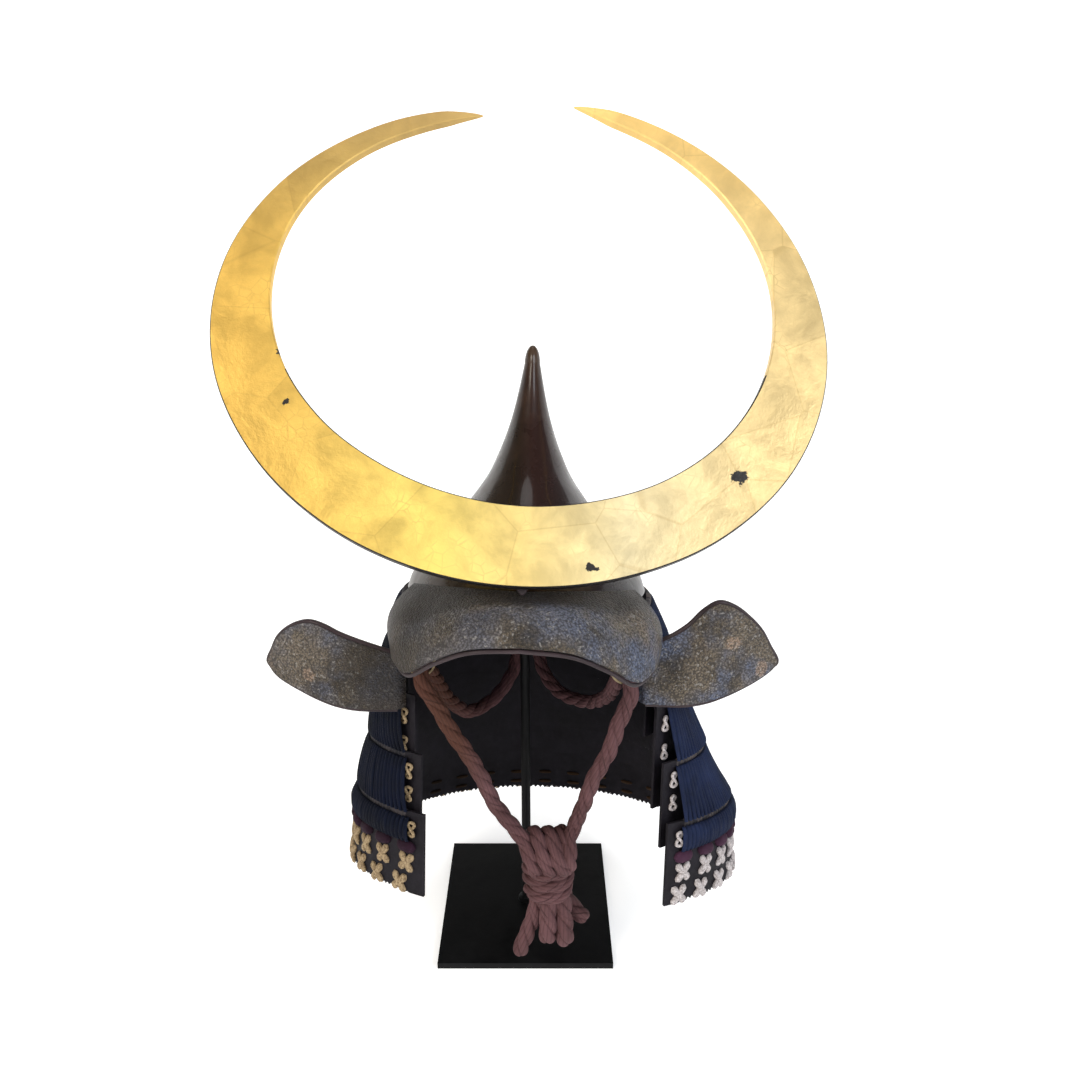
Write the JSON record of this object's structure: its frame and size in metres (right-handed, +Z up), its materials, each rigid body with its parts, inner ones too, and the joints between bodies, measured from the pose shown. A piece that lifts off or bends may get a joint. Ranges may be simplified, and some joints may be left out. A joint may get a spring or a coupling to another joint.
{
  "type": "kabuto samurai helmet on display stand",
  "caption": "Samurai helmet with a pointed lacquered bowl, leather-clad visor and wings, gilt crescent crest, blue-laced neck guard and knotted chin cord, held up by a plain metal stand.",
  "frame": {"origin": "centre of the underside of the stand's plate", "axes": "+Z up, the helmet faces -Y and its wearer's left is +X"},
  "size_m": [0.4328, 0.2798, 0.6857],
  "materials": {
    "gold_leaf": "worn gold leaf over black lacquer",
    "lacquered_iron": "glossy dark brown lacquer",
    "grained_leather": "granular grey-brown",
    "rim_lacquer": "dark maroon lacquer",
    "lame_lacquer": "satin black lacquer",
    "blue_silk": "close vertical navy silk lacing",
    "mauve_rope": "twisted silk rope",
    "ring_brass": "dull old brass",
    "stand_steel": "satin black"
  },
  "bodies": {
    "root": {"stand_plate": "stand_steel", "stand_post": "stand_steel", "stand_pad": "stand_steel", "bowl": "lacquered_iron", "visor": "grained_leather", "visor_rim": "rim_lacquer", "crescent": "gold_leaf", "crest_holder": "rim_lacquer", "lame_1": "lame_lacquer", "lacing_1": "blue_silk", "lame_2": "lame_lacquer", "lacing_2": "blue_silk", "lame_3": "lame_lacquer", "lacing_3": "blue_silk", "lame_4": "lame_lacquer", "lacing_4": "blue_silk", "lame_5": "lame_lacquer", "lacing_5": "blue_silk", "wing_left": "grained_leather", "wing_rim_left": "rim_lacquer", "wing_right": "grained_leather", "wing_rim_right": "rim_lacquer", "cord_ring_left": "ring_brass", "cord_ring_right": "ring_brass", "cord_ring_rear": "ring_brass", "cord_loop_left": "mauve_rope", "cord_loop_right": "mauve_rope", "cord_run_left": "mauve_rope", "cord_run_right": "mauve_rope", "cord_tail_left": "mauve_rope", "cord_bight_left": "mauve_rope", "cord_bight_right": "mauve_rope", "cord_tail_right": "mauve_rope", "cord_knot": "mauve_rope"}
  },
  "joints": []
}
